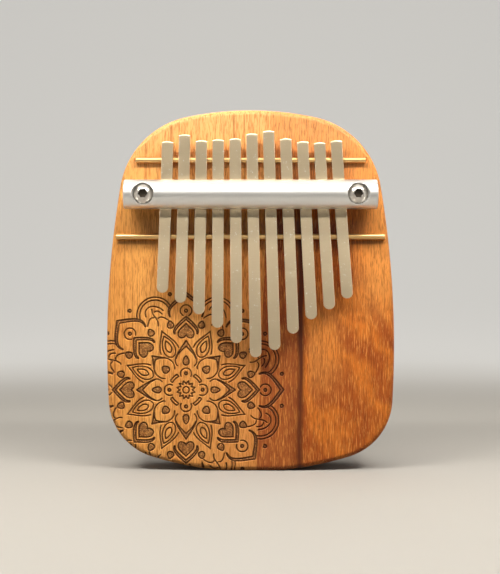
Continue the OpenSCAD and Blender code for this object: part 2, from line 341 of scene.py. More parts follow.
def metal(name, colour, tint, roughness, scale, bump=0.05, wear=0.0):
    """Metal with tool marks: noise stretched along the marks varies its colour, gloss and surface.

    The wear is how far a few pale specks show. Points that carry the painted shade of a recess are dark and
    dull.
    """
    material, pen, output = new_material(name)
    marks = noise(pen, scale, detail=3.0, roughness=0.6)
    cloud = noise(pen, (0.09, 0.09, 0.07), detail=2.0)
    tone = (marks * 0.35 + cloud * 0.5).mix(rgba(colour), rgba(tint))
    rough = roughness + (marks - 0.5) * 0.12 + (cloud - 0.5) * 0.08
    if wear:
        specks = noise(pen, (0.75, 0.75, 0.6), detail=3.0, roughness=0.7).between(0.63, 0.7) * wear
        tone = specks.mix(tone, rgba(SPECK))
        rough = rough + specks * 0.2
    # Painted shade: a recess such as a screw's socket is darkened in its colour.
    painted_shade = attribute(pen, "painted_shade")
    tone = painted_shade.mix(tone, rgba(SOCKET_SHADE_COLOUR))
    rough = rough + painted_shade * 0.3
    inputs = {"Base Color": tone, "Roughness": rough, "Metallic": 1.0}
    surface(pen, output, inputs, bump=marks, strength=bump, distance=0.05 * MM)
    return material


# Meshes


def grid_faces(rows, columns, closed=False):
    """Quads of a grid of points in rows; a closed grid joins its last column to its first."""
    index = np.arange(rows * columns).reshape(rows, columns)
    if closed:
        index = np.hstack([index, index[:, :1]])
    quads = np.stack([index[:-1, :-1], index[:-1, 1:], index[1:, 1:], index[1:, :-1]], axis=-1)
    return quads.reshape(-1, 4).tolist()


class Shell:
    """Points and faces of one piece, gathered patch by patch and closed at the end."""

    def __init__(self):
        self.points = []
        self.faces = []
        self.count = 0

    def add(self, points, faces):
        """Adds a patch of points with faces of one kind, which count from its first point."""
        points = np.asarray(points, float).reshape(-1, 3)
        self.faces += (np.asarray(faces) + self.count).tolist()
        self.points.append(points)
        self.count += len(points)

    def add_grid(self, points, closed=False):
        """Adds a patch that is a grid of points."""
        rows, columns = points.shape[:2]
        self.add(points, grid_faces(rows, columns, closed))

    def add_polygon(self, points):
        """Adds one flat face."""
        self.add(points, [list(range(len(points)))])

    def piece(self, name, material, sharp=30.0):
        """The finished object: doubles merged, faces outwards, creases sharper than an angle."""
        mesh = bpy.data.meshes.new(name)
        mesh.from_pydata(np.concatenate(self.points), [], self.faces)
        work = bmesh.new()
        work.from_mesh(mesh)
        bmesh.ops.remove_doubles(work, verts=work.verts, dist=MERGE)
        bmesh.ops.dissolve_degenerate(work, edges=work.edges, dist=SHORT_EDGE)
        bmesh.ops.recalc_face_normals(work, faces=work.faces)
        work.to_mesh(mesh)
        work.free()
        mesh.shade_smooth()
        mesh.set_sharp_from_angle(angle=math.radians(sharp))
        mesh.materials.append(material)
        made = bpy.data.objects.new(name, mesh)
        bpy.context.scene.collection.objects.link(made)
        return made


def corners_of(piece):
    """Places of a piece's vertices."""
    places = np.zeros(3 * len(piece.data.vertices), np.float32)
    piece.data.vertices.foreach_get("co", places)
    return places.reshape(-1, 3).astype(float)


def paint(piece, name, values):
    """Gives a piece's vertices a value of their own for its material."""
    layer = piece.data.attributes.new(name, "FLOAT", "POINT")
    layer.data.foreach_set("value", np.asarray(values, np.float32))


def space(plane, depth):
    """Points of the front plane, x + iz, at a depth along Y."""
    plane = np.asarray(plane)
    return np.stack([plane.real, np.broadcast_to(depth, plane.shape), plane.imag], axis=-1)


def triangulate(boundary, lines, points):
    """Triangles inside a boundary that keep to lines and pass through points; gives points and corners.

    Slivers that the triangulation leaves in dents of the boundary are dropped.
    """
    boundary = boundary.astype(np.complex64).astype(complex)
    chains = [boundary, *lines]
    starts = np.cumsum([0] + [len(chain) for chain in chains])
    edges = [
        np.stack([np.arange(len(chain) - 1), np.arange(1, len(chain))], axis=1) + start
        for chain, start in zip(chains[1:], starts[1:])
    ]
    plane = np.concatenate([*chains, points])
    vectors = [Vector(pair) for pair in np.stack([plane.real, plane.imag], axis=1).tolist()]
    pairs = np.concatenate(edges).tolist() if edges else []
    corners = list(range(len(boundary)))
    found, _, faces, *_ = delaunay_2d_cdt(vectors, pairs, [corners], 1, 1e-8, False)
    pairs = np.array([vector[:] for vector in found])
    plane = pairs[:, 0] + 1j * pairs[:, 1]
    corners = np.array(faces)
    a, b, c = plane[corners].T
    thin = np.flatnonzero(np.abs(((b - a).conj() * (c - a)).imag) < SLIVER)
    dents = thin[~inside(plane[corners[thin]].mean(axis=1), boundary)]
    return plane, np.delete(corners, dents, axis=0)


# The body's outline


def nested_centre(a, a_radius, b, b_radius, radius, up):
    """Centre of a circle that touches two larger ones from the inside."""
    apart = abs(b - a)
    along = ((a_radius - radius) ** 2 - (b_radius - radius) ** 2 + apart**2) / (2 * apart)
    aside = math.sqrt((a_radius - radius) ** 2 - along**2)
    return a + (b - a) / apart * complex(along, up * aside)


def heading(start, end):
    """Angle of the way from one point to another."""
    return math.atan2((end - start).imag, (end - start).real)


def seam_x(z):
    """Sideways place of the glue seam at a height."""
    return SEAM_FOOT + (SEAM_TOP - SEAM_FOOT) * z / HEIGHT


def arc(centre, radius, start, end, step):
    """Points of an arc and the normals that point away from its centre."""
    count = max(2, math.ceil(radius * abs(end - start) / step) + 1)
    normals = np.exp(1j * np.linspace(start, end, count))
    return centre + radius * normals, normals


def flat(start, end, step):
    """Points of a straight stretch of the foot and its normals, which point down."""
    count = max(2, math.ceil(abs(end - start) / step) + 1)
    points = np.linspace(start, end, count).astype(complex)
    return points, np.full(count, -1j)


def plank_outline(side, step):
    """Outer edge of one plank from the seam at the foot round to the seam at the top.

    The edge is a chain of arcs that touch each other: foot, bottom, lower corner, side,
    upper corner and top. The side is 1 for the right plank and -1 for the left one. The angle
    where the top meets the seam is found step by step, and the foot's corner has a mitred normal.
    """
    bottom = complex(0, math.sqrt(BOTTOM_RADIUS**2 - HALF_FOOT**2))
    flank = complex(HALF_WIDTH - SIDE_RADIUS, WIDEST_HEIGHT)
    top = complex(0, HEIGHT - TOP_RADIUS)
    low = nested_centre(flank, SIDE_RADIUS, bottom, BOTTOM_RADIUS, LOW_CORNER_RADIUS, -1)
    high = nested_centre(flank, SIDE_RADIUS, top, TOP_RADIUS, TOP_CORNER_RADIUS, 1)
    turns = [heading(bottom, HALF_FOOT + 0j), heading(bottom, low), heading(flank, low)]
    turns += [heading(flank, high), heading(top, high)]
    meeting = math.pi / 2
    for _ in range(20):
        z = top.imag + (TOP_RADIUS - EDGE_RADIUS) * math.sin(meeting)
        meeting = math.acos(seam_x(z) / (TOP_RADIUS - EDGE_RADIUS))
    if side < 0:
        meeting = math.pi - meeting
    links = [
        flat(side * seam_x(EDGE_RADIUS), HALF_FOOT, step),
        arc(bottom, BOTTOM_RADIUS, turns[0], turns[1], step),
        arc(low, LOW_CORNER_RADIUS, turns[1], turns[2], step),
        arc(flank, SIDE_RADIUS, turns[2], turns[3], step),
        arc(high, TOP_CORNER_RADIUS, turns[3], turns[4], step),
        arc(top, TOP_RADIUS, turns[4], meeting, step),
    ]
    corner = links[0][1][-1] + links[1][1][0]
    links[0][1][-1] = 2 * corner / abs(corner) ** 2
    points = np.concatenate([links[0][0]] + [link[0][1:] for link in links[1:]])
    normals = np.concatenate([links[0][1]] + [link[1][1:] for link in links[1:]])
    if side < 0:
        points, normals = -points.conj(), -normals.conj()
    return points, normals


# The carved ornament


# Reach of the motifs as they are drawn, in millimetres, points of a curve as it is drawn, and the
# spacing of points along the carved lines and in the fields that they scorch.
MOTIF_REACH = 51.3
CURVE_POINTS = 60
LINE_STEP = 0.35 * MM
FIELD_STEP = 0.5 * MM

# The share of a carved line's width that is its flat floor, and the depth of a scorched field as a
# share of a line's depth: the least, and what its mottle adds.
GROOVE_FLOOR = 0.35
FIELD_DEPTH = 0.3
FIELD_MOTTLE = 0.35


def bezier(p0, p1, p2, p3):
    """Cubic curve from p0 to p3 that sets off towards p1 and arrives from p2."""
    t = np.linspace(0, 1, CURVE_POINTS)
    return (1 - t) ** 3 * p0 + 3 * (1 - t) ** 2 * t * p1 + 3 * (1 - t) * t**2 * p2 + t**3 * p3


def ring(centre, radius, start=0.0, end=360.0):
    """Round line about a centre, whole or from one angle to another."""
    return centre + radius * np.exp(1j * np.radians(np.linspace(start, end, CURVE_POINTS)))


def drop(centre, length, width, taper=0.35):
    """Small closed drop, slimmer outwards by a taper: an ellipse whose width falls along its length."""
    t = np.linspace(0, 2 * np.pi, 49)
    return centre + length * np.cos(t) + 1j * width * np.sin(t) * (1 - taper * np.cos(t))


def both(curve):
    """A curve and its mirror image across the motif's axis."""
    return [curve, curve.conj()]


def evenly(curve, step):
    """The same curve with its points a step apart."""
    reach = np.concatenate([[0], np.cumsum(np.abs(np.diff(curve)))])
    count = max(3, math.ceil(reach[-1] / step) + 1)
    at = np.linspace(0, reach[-1], count)
    return np.interp(at, reach, curve.real) + 1j * np.interp(at, reach, curve.imag)


def chain(*curves):
    """Curves joined end to end."""
    return np.concatenate(curves)


def chevron(outer, inner):
    """Closed band of a pointed arch: two outlines from the foot to the tip, and their mirror images."""
    return chain(outer, outer[::-1].conj(), inner.conj(), inner[::-1], outer[:1])


def spray(centre):
    """Curling leaf inside a scallop: a crown, a vein and three side strokes."""
    strokes = [
        bezier(1.4 + 4.8j, 7.0 + 4.4j, 6.6 - 2.0j, 1.0 - 4.9j),
        bezier(-5.4 + 0.6j, -2.4 - 1.4j, 0.6 + 1.8j, 3.8 + 0.4j),
        bezier(-0.6 + 1.2j, 0.4 + 3.4j, -1.6 + 4.4j, -3.6 + 5.8j),
        bezier(-1.8 - 0.8j, -1.0 - 3.0j, -3.0 - 4.2j, -4.6 - 5.4j),
        bezier(2.0 - 0.2j, 2.6 - 1.8j, 1.4 - 3.0j, -0.4 - 3.6j),
    ]
    return [centre + stroke for stroke in strokes]


def motifs():
    """The ornament's motifs in millimetres: copies round the centre, first angle, lines, scorched or not.

    A motif lies along the axis that points away from the ornament's centre. Each line of a
    scorched one is closed, and its inside is darkened.
    """
    tooth = bezier(3.1 + 0.75j, 3.6 + 0.7j, 4.3 + 0.4j, 4.8)
    bar = chain(ring(0, 8.0, -17, 17), ring(0, 9.4, 15, -15), ring(0, 8.0, -17, -16))
    petal_foot = bezier(12.6 + 4.4j, 13.3 + 5.3j, 14.6 + 5.9j, 16.2 + 5.5j)
    petal = bezier(16.2 + 5.5j, 19.0 + 5.0j, 22.6 + 2.1j, 26.0)
    inner_petal = bezier(16.5 + 5.1j, 18.6 + 4.4j, 20.8 + 2.2j, 22.8)
    round_petal = bezier(12.0 + 3.6j, 14.6 + 6.6j, 20.6 + 5.8j, 22.4)
    round_tip = bezier(19.8 + 3.8j, 21.8 + 2.6j, 23.4 + 1.0j, 25.4)
    inner_round = bezier(20.0 + 3.5j, 21.0 + 2.6j, 21.8 + 1.4j, 22.5)
    husk = bezier(33.4, 30.0 + 1.4j, 26.4 + 4.8j, 22.2 + 4.9j)
    leaf = bezier(18.6, 19.2 + 4.0j, 25.6 + 4.4j, 30.4)
    inner_leaf = bezier(21.3, 22.2 + 1.9j, 25.0 + 2.1j, 27.7)
    arch = bezier(29.2 + 6.0j, 31.4 + 7.6j, 34.2 + 5.2j, 38.6)
    inner_arch = bezier(29.5 + 5.6j, 31.2 + 6.2j, 33.2 + 4.2j, 36.9)
    lobe = chain(
        bezier(28.9, 26.6 + 0.9j, 26.4 + 4.6j, 30.0 + 4.1j),
        bezier(30.0 + 4.1j, 32.0 + 3.7j, 33.2 + 1.3j, 34.9),
    )
    point = bezier(38.2 + 8.5j, 43.6 + 11.4j, 46.4 + 6.2j, MOTIF_REACH)
    inner_point = bezier(38.5 + 8.2j, 43.0 + 10.0j, 45.6 + 5.2j, 49.4)
    return [
        (1, 0.0, [ring(0, 1.7)], False),
        (12, 15.0, both(tooth), False),
        (4, 0.0, [ring(8.7, 0.8)], True),
        (4, 0.0, [ring(8.5, 2.9, -118, 118)], False),
        (4, 45.0, [bar], False),
        (4, 0.0, both(petal_foot), False),
        (4, 0.0, [chevron(petal, inner_petal)], True),
        (4, 0.0, [drop(15.4, 2.4, 1.5)], True),
        (4, 45.0, both(round_petal), False),
        (4, 45.0, [chevron(round_tip, inner_round)], True),
        (4, 45.0, [drop(15.2, 2.0, 1.8)], True),
        (8, 22.5, both(husk) + both(leaf) + both(inner_leaf), False),
        (8, 0.0, [chevron(arch, inner_arch)], True),
        (8, 0.0, [chain(lobe, lobe[::-1].conj())], True),
        (8, 13.5, [drop(35.2, 1.9, 1.6)], True),
        (8, 31.5, [drop(35.2, 1.9, 1.6)], True),
        (8, 22.5, [ring(42.2, 9.6, -79, 79), ring(42.2, 8.1, -86, 86)], False),
        (8, 22.5, spray(42.0), False),
        (8, 0.0, [chevron(point, inner_point)], True),
        (8, 0.0, [ring(41.6, 3.0, -150, 150)], False),
        (8, 0.0, [ring(41.6, 0.8)], True),
        (8, 9.5, [ring(50.9, 0.8)], True),
        (8, -9.5, [ring(50.9, 0.8)], True),
    ]


def ornament(sizes):
    """Every line of the ornament, in place on the front, and the fields that it scorches."""
    centre = complex(*sizes.ornament_centre)
    scale = sizes.ornament_radius / MOTIF_REACH
    lines, fields = [], []
    for copies, first, curves, scorched in motifs():
        for number in range(copies):
            turn = np.exp(1j * math.radians(first + 360 * number / copies))
            placed = [evenly(centre + turn * curve * scale, LINE_STEP) for curve in curves]
            lines += placed
            if scorched:
                fields += placed
    return lines, fields


def line_distance(points, line):
    """Distance of each point from the nearest stretch of a line."""
    start, way = line[:-1], np.diff(line)
    length = np.maximum(np.abs(way) ** 2, 1e-16)
    share = ((points[:, None] - start) * way.conj()).real / length
    return np.abs(points[:, None] - start - way * np.clip(share, 0, 1)).min(axis=1)


def inside(points, loop):
    """True for the points that lie inside a closed line, by the even-odd rule."""
    a, b = loop, np.roll(loop, -1)
    spans = (a.imag > points.imag[:, None]) != (b.imag > points.imag[:, None])
    rise = np.where(b.imag == a.imag, 1e-12, b.imag - a.imag)
    crossing = a.real + (points.imag[:, None] - a.imag) / rise * (b.real - a.real)
    return ((spans & (points.real[:, None] < crossing)).sum(axis=1) % 2).astype(bool)


def carving(points, drawing, sizes):
    """How far the ornament is cut and scorched at points of the front: shares of burn and fill.

    A line is a flat-bottomed groove: its share falls from 1 on the bottom to 0 at its edge.
    """
    lines, fields = drawing
    half = sizes.line_width / 2
    burn = np.zeros(len(points))
    fill = np.zeros(len(points))
    for line in lines:
        middle = (line.real.min() + line.real.max()) / 2 + 1j * (line.imag.min() + line.imag.max()) / 2
        reach = np.abs(line - middle).max() + half
        near = np.flatnonzero(np.abs(points - middle) < reach)
        share = (half - line_distance(points[near], line)) / (half * (1 - GROOVE_FLOOR))
        burn[near] = np.maximum(burn[near], np.clip(share, 0, 1))
    for field in fields:
        middle = field.mean()
        near = np.flatnonzero(np.abs(points - middle) < np.abs(field - middle).max())
        fill[near] = np.maximum(fill[near], inside(points[near], field))
    return burn, fill


# The planks


# The share of the edge's turn, as a cosine, over which carved lines fade out.
LINE_FADE = 0.35

# Room round a rod in its groove and an insert in its hole, how far a groove runs past its rod, and
# its lengthwise mesh lines as shares of its half width.
PLAY = 0.1 * MM
GROOVE_RUN = 1 * MM
GROOVE_ROWS = (-1, -0.85, -0.5, 0, 0.5, 0.85, 1)


def rod_grooves():
    """Height, half length, axis depth and radius of the groove under each brass rod."""
    found = []
    for name in ROD_NODES:
        low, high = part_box(name)
        radius = (high.z - low.z) / 2 + PLAY
        found.append(((low.z + high.z) / 2, high.x + GROOVE_RUN, (low.y + high.y) / 2, radius))
    return found


def grooved(points, depth):
    """The deeper of a depth and of the rod grooves' round floors, at points of the front."""
    for z, reach, axis, radius in rod_grooves():
        under = (np.abs(points.imag - z) < radius) & (np.abs(points.real) < reach)
        floor = axis + np.sqrt(np.maximum(radius**2 - (points.imag - z) ** 2, 0))
        depth = np.where(under, np.maximum(depth, floor), depth)
    return depth


def capsule(line, distance):
    """Closed line that runs round a line at a distance, with round ends.

    A line that is closed itself gets one such line on each side.
    """
    way = np.gradient(line)
    normal = 1j * way / np.maximum(np.abs(way), 1e-12)
    if abs(line[0] - line[-1]) < 1e-9:
        return [line + distance * normal, line - distance * normal]
    turn = np.exp(-1j * np.pi * np.linspace(0, 1, 6)[1:-1])
    first = line[0] - distance * normal[0] * turn
    last = line[-1] + distance * normal[-1] * turn
    loop = np.concatenate([line + distance * normal, last, line[::-1] - distance * normal[::-1], first])
    return [np.append(loop, loop[0])]


def kept_runs(line, keep):
    """The stretches of a line whose points are all kept."""
    breaks = np.flatnonzero(np.diff(keep.astype(int))) + 1
    runs = np.split(line, breaks)
    flags = np.split(keep, breaks)
    return [run for run, flag in zip(runs, flags) if flag[0] and len(run) > 1]


def field_points(fields, step):
    """Points a step apart inside the scorched fields, in staggered rows."""
    found = []
    for field in fields:
        x = np.arange(field.real.min(), field.real.max(), step)
        z = np.arange(field.imag.min(), field.imag.max(), step)
        grid = x[None, :] + 1j * z[:, None]
        grid = (grid + step / 2 * (np.arange(len(z)) % 2)[:, None]).ravel()
        found.append(grid[inside(grid, field)])
    return np.concatenate(found)


def mottle(points):
    """Uneven depth from 0 to 1 of a scorched field: crossing waves of unlike lengths."""
    x, z = points.real / MM, points.imag / MM
    return 0.5 + 0.25 * np.sin(5.1 * x + 2.3 * np.sin(3.7 * z)) + 0.25 * np.sin(6.3 * z - 4.4 * x)


def cut_share(points, drawing, sizes):
    """How deep the front is cut at points, as a share of a line's depth."""
    burn, fill = carving(points, drawing, sizes)
    return np.maximum(burn, fill * (FIELD_DEPTH + FIELD_MOTTLE * mottle(points)))


def carved_depth(points, drawing, sizes):
    """Depth along Y of the front face: carved lines, scorched fields and rod grooves."""
    return grooved(points, FRONT_Y + sizes.line_depth * cut_share(points, drawing, sizes))


def on_plank(points, side, rim, normals, margin=0.12 * MM):
    """True for the points that lie on a plank's front, inside its rounded edge and its side of the seam.

    A point is compared with the nearest of every few points of the rim, and a batch at a time.
    """
    every, batch = 4, 4000
    kept = side * (points.real - seam_x(points.imag)) > margin
    for start in range(0, len(points), batch):
        part = points[start:start + batch]
        nearest = np.abs(part[:, None] - rim[::every]).argmin(axis=1) * every
        out = ((part - rim[nearest]) * normals[nearest].conj()).real
        kept[start:start + batch] &= out < -margin
    return kept


def rounded_edge(outer, normals, drawing, sizes):
    """Grid over the outline and the turn of the edge from front to side, and on down the outer wall.

    Carved lines run out over the edge and fade with its turn.
    """
    turn = np.linspace(0, np.pi / 2, EDGE_STEPS)
    inset = np.append(EDGE_RADIUS * (1 - np.sin(turn)), [0, GLUE_LINE])
    depth = np.append(FRONT_Y + EDGE_RADIUS * (1 - np.cos(turn)), [JOINT_Y - GLUE_LINE, JOINT_Y])
    plane = outer[:, None] - normals[:, None] * inset
    slope = np.append(turn, [np.pi / 2] * 2)
    fade = np.clip(np.cos(slope) / LINE_FADE, 0, 1)
    cut = cut_share(plane.ravel(), drawing, sizes).reshape(plane.shape) * sizes.line_depth * fade
    plane = plane - normals[:, None] * cut * np.sin(slope)
    deep = grooved(plane.ravel(), (depth + cut * np.cos(slope)).ravel()).reshape(plane.shape)
    return space(plane, deep)


def seam_line(rim):
    """Points of the front along the seam, from the top down to the foot."""
    count = math.ceil(abs(rim[-1] - rim[0]) / OUTLINE_STEP)
    seam = np.linspace(rim[-1], rim[0], count)
    seam[1:-1:2] += SEAM_SHAKE
    return seam[1:-1]


def front_lines(drawing, sizes):
    """Lines that the front's triangles keep to: edge and floor of each carved line, and the rod grooves."""
    lines = [loop for line in drawing[0] for share in (1.0, GROOVE_FLOOR)
             for loop in capsule(line, share * sizes.line_width / 2)]
    for z, reach, axis, radius in rod_grooves():
        half = math.sqrt(radius**2 - (axis - FRONT_Y) ** 2)
        across = np.arange(-reach, reach, COARSE_STEP)
        lines += [across + 1j * (z + share * half) for share in GROOVE_ROWS]
    return lines


def add_front(shell, side, rim, normals, seam, drawing, sizes):
    """Adds a plank's front, the surface y = depth(x, z), and the hole for its insert."""
    low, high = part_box("right_insert" if side > 0 else "left_insert")
    centre = complex((low.x + high.x) / 2, (low.z + high.z) / 2)
    hole = ring(centre, (high.x - low.x) / 2 + PLAY)
    lines = [run for line in front_lines(drawing, sizes)
             for run in kept_runs(line, on_plank(line, side, rim, normals))]
    loose = field_points(drawing[1], FIELD_STEP)
    loose = loose[on_plank(loose, side, rim, normals)]
    points, corners = triangulate(np.concatenate([rim, seam]), [*lines, hole], loose)
    corners = corners[~inside(points[corners].mean(axis=1), hole)]
    shell.add(space(points, carved_depth(points, drawing, sizes)), corners)
    mouth = space(hole[:-1], FRONT_Y)
    floor = space(hole[:-1], high.y)
    shell.add_grid(np.stack([mouth, floor]), closed=True)
    shell.add_polygon(floor)


def add_chamber(shell, side, edge):
    """Adds the chamber's wall and floor and the plank's back; gives the chamber's corners at the seam."""
    chamber, normals = plank_outline(side, COARSE_STEP)
    chamber = chamber - normals * CHAMBER_WALL
    chamber = chamber[(chamber.imag < CHAMBER_TOP) & (side * chamber.real > side * seam_x(chamber.imag))]
    low = complex(seam_x(CHAMBER_WALL), CHAMBER_WALL)
    high = complex(seam_x(CHAMBER_TOP), CHAMBER_TOP)
    chamber = np.concatenate([[low], chamber, [complex(chamber[-1].real, CHAMBER_TOP), high]])
    back = space(chamber, JOINT_Y)
    floor = space(chamber, CHAMBER_FRONT)
    shell.add_grid(np.stack([back, floor]))
    shell.add_polygon(floor)
    shell.add_polygon(np.concatenate([edge[:, -1], back[::-1]]))
    return np.stack([back[0], floor[0], floor[-1], back[-1]])


def scorch(piece, drawing, sizes):
    """Paints a plank's points with how far they are burnt and scorched, fading out over the edge."""
    spots = corners_of(piece)
    burn, fill = carving(spots[:, 0] + 1j * spots[:, 2], drawing, sizes)
    on_front = np.clip((FRONT_Y + EDGE_RADIUS - spots[:, 1]) / (LINE_FADE * EDGE_RADIUS), 0, 1)
    paint(piece, "burn", burn * on_front)
    paint(piece, "fill", fill * on_front)


def make_plank(side, name, material, drawing, sizes):
    """One plank: carved front, rounded edge, outer wall, seam wall, chamber and insert hole."""
    outer, normals = plank_outline(side, OUTLINE_STEP)
    rim = outer - normals * EDGE_RADIUS
    seam = seam_line(rim)
    edge = rounded_edge(outer, normals, drawing, sizes)
    shell = Shell()
    shell.add_grid(edge)
    add_front(shell, side, rim, normals, seam, drawing, sizes)
    notch = add_chamber(shell, side, edge)
    seam_front = space(seam, carved_depth(seam, drawing, sizes))
    shell.add_polygon(np.concatenate([seam_front, edge[0], notch, edge[-1][::-1]]))
    made = shell.piece(name, material)
    scorch(made, drawing, sizes)
    return made


# Rods, clamp and tines


# Radius of the rounded rod ends.
ROD_END = 0.35 * MM


def make_rod(name, node, material):
    """Brass rod: a circle carried along its axis, with a small round at each end."""
    low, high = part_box(node)
    radius = (high.z - low.z) / 2
    turn = np.linspace(0, np.pi / 2, 6)
    shrink = ROD_END * (1 - np.sin(turn))
    inset = ROD_END * (1 - np.cos(turn))
    width = np.concatenate([[0], radius - shrink, radius - shrink[::-1], [0]])
    along = np.concatenate([[low.x], low.x + inset, high.x - inset[::-1], [high.x]])
    circle = np.exp(1j * np.linspace(0, 2 * np.pi, 49)[:-1])
    centre = complex((low.y + high.y) / 2, (low.z + high.z) / 2)
    yz = centre + width[:, None] * circle
    x = np.broadcast_to(along[:, None], yz.shape)
    shell = Shell()
    shell.add_grid(np.stack([x, yz.real, yz.imag], axis=-1), closed=True)
    return shell.piece(name, material)


# The clamp bar: its rounded ends, its counterbores, its plain holes, and how much wider than a hole
# the ring is that its lengthwise mesh lines keep out of.
BAR_END = 0.7 * MM
BORE_LIP = 0.25 * MM
BORE_RADIUS = 5.5 * MM
BORE_SEAT = FRONT_Y - 14.6 * MM
SHANK_HOLE = 3.3 * MM
BORE_CLEAR = 1.08


def screw_places():
    """Sideways places of the two clamp screws."""
    boxes = [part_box(name) for name in SCREW_NODES]
    return [(low.x + high.x) / 2 for low, high in boxes]


def rolled(skin):
    """Points of the bar's unrolled skin, x + i times the arc, back on its cylinder."""
    turn = skin.imag / BAR_RADIUS
    y = BAR_Y - BAR_RADIUS * np.cos(turn)
    return np.stack([skin.real, y, BAR_Z + BAR_RADIUS * np.sin(turn)], axis=-1)


def add_bore(shell, x):
    """Adds a screw's hole in the bar: rounded lip, wall, flat seat and hole to the back.

    Gives the loops that it cuts out of the unrolled skin at the front and the back.
    """
    circle = np.exp(1j * np.linspace(0, 2 * np.pi, 73)[:-1])
    wide = (BORE_RADIUS + BORE_LIP) * circle
    narrow = SHANK_HOLE * circle
    front = x + wide.real + 1j * BAR_RADIUS * np.arcsin(wide.imag / BAR_RADIUS)
    back = x + narrow.real + 1j * BAR_RADIUS * (np.pi - np.arcsin(narrow.imag / BAR_RADIUS))
    turn = np.linspace(0, np.pi / 2, 6)[:, None]
    rim = (BORE_RADIUS + BORE_LIP * (1 - np.sin(turn))) * circle
    skin = BAR_Y - np.sqrt(BAR_RADIUS**2 - rim.imag**2) + BORE_LIP * (1 - np.cos(turn))
    middle = x + 1j * BAR_Z
    lip = space(middle + rim, skin)
    wall = [space(middle + size * circle, BORE_SEAT) for size in (BORE_RADIUS, SHANK_HOLE)]
    exit_y = BAR_Y + np.sqrt(BAR_RADIUS**2 - narrow.imag**2)
    shell.add_grid(np.stack([*lip, *wall, space(middle + narrow, exit_y)]), closed=True)
    return [np.append(loop, loop[0]) for loop in (front, back)]


def add_bar_ends(shell, ends, turns):
    """Adds the bar's flat ends with their rounded edges."""
    turn = np.linspace(0, np.pi / 2, 6)
    shrink = np.append(1 - BAR_END / BAR_RADIUS * (1 - np.cos(turn)), 0)
    reach = np.append(BAR_END * np.sin(turn), BAR_END)
    for end, way in zip(ends, (-1, 1)):
        middle = [end, BAR_Y, BAR_Z]
        edge = rolled(end + 1j * turns[:-1]) - middle
        rows = edge * shrink[:, None, None] + middle
        rows[..., 0] = end + way * reach[:, None]
        shell.add_grid(rows, closed=True)


def make_bar(material):
    """Clamp bar: a cylinder unrolled to (x, arc), cut by the screw holes and rolled up again."""
    ends = (BAR_BOX[0].x + BAR_END, BAR_BOX[1].x - BAR_END)
    along = np.linspace(*ends, 120)
    turns = np.radians(np.arange(-90, 271, 4)) * BAR_RADIUS
    sides = [along + 1j * turns[0], ends[1] + 1j * turns[1:-1], along[::-1] + 1j * turns[-1]]
    boundary = np.concatenate([*sides, ends[0] + 1j * turns[-2:0:-1]])
    lines = [along[1:-1] + 1j * turn for turn in turns[1:-1]]
    shell = Shell()
    loops = [loop for x in screw_places() for loop in add_bore(shell, x)]
    for loop in loops:
        wider = loop.mean() + BORE_CLEAR * (loop - loop.mean())
        lines = [run for line in lines for run in kept_runs(line, ~inside(line, wider))]
    points, corners = triangulate(boundary, [*lines, *loops], np.zeros(0, complex))
    middles = points[corners].mean(axis=1)
    holed = np.any([inside(middles, loop) for loop in loops], axis=0)
    shell.add(rolled(points), corners[~holed])
    add_bar_ends(shell, ends, turns)
    return shell.piece("clamp_bar_satin", material, sharp=35.0)


# The screws: height of the dome, hexagon socket with its lip, the cone of its drill and the depth
# over which its painted shade deepens, thread and flat point.
DOME_HEIGHT = 3.3 * MM
SOCKET_HALF = 2.0 * MM
SOCKET_DEPTH = 2.1 * MM
SOCKET_LIP = 0.3 * MM
SOCKET_CONE = 0.4 * MM
SOCKET_CONE_SHARE = 0.6
SOCKET_SHADE_DEPTH = 0.8 * MM
SHANK_RADIUS = 3.0 * MM
THREAD_PITCH = 1.0 * MM
THREAD_DEPTH = 0.3 * MM
POINT_LENGTH = 0.75 * MM
POINT_SHARE = 0.75


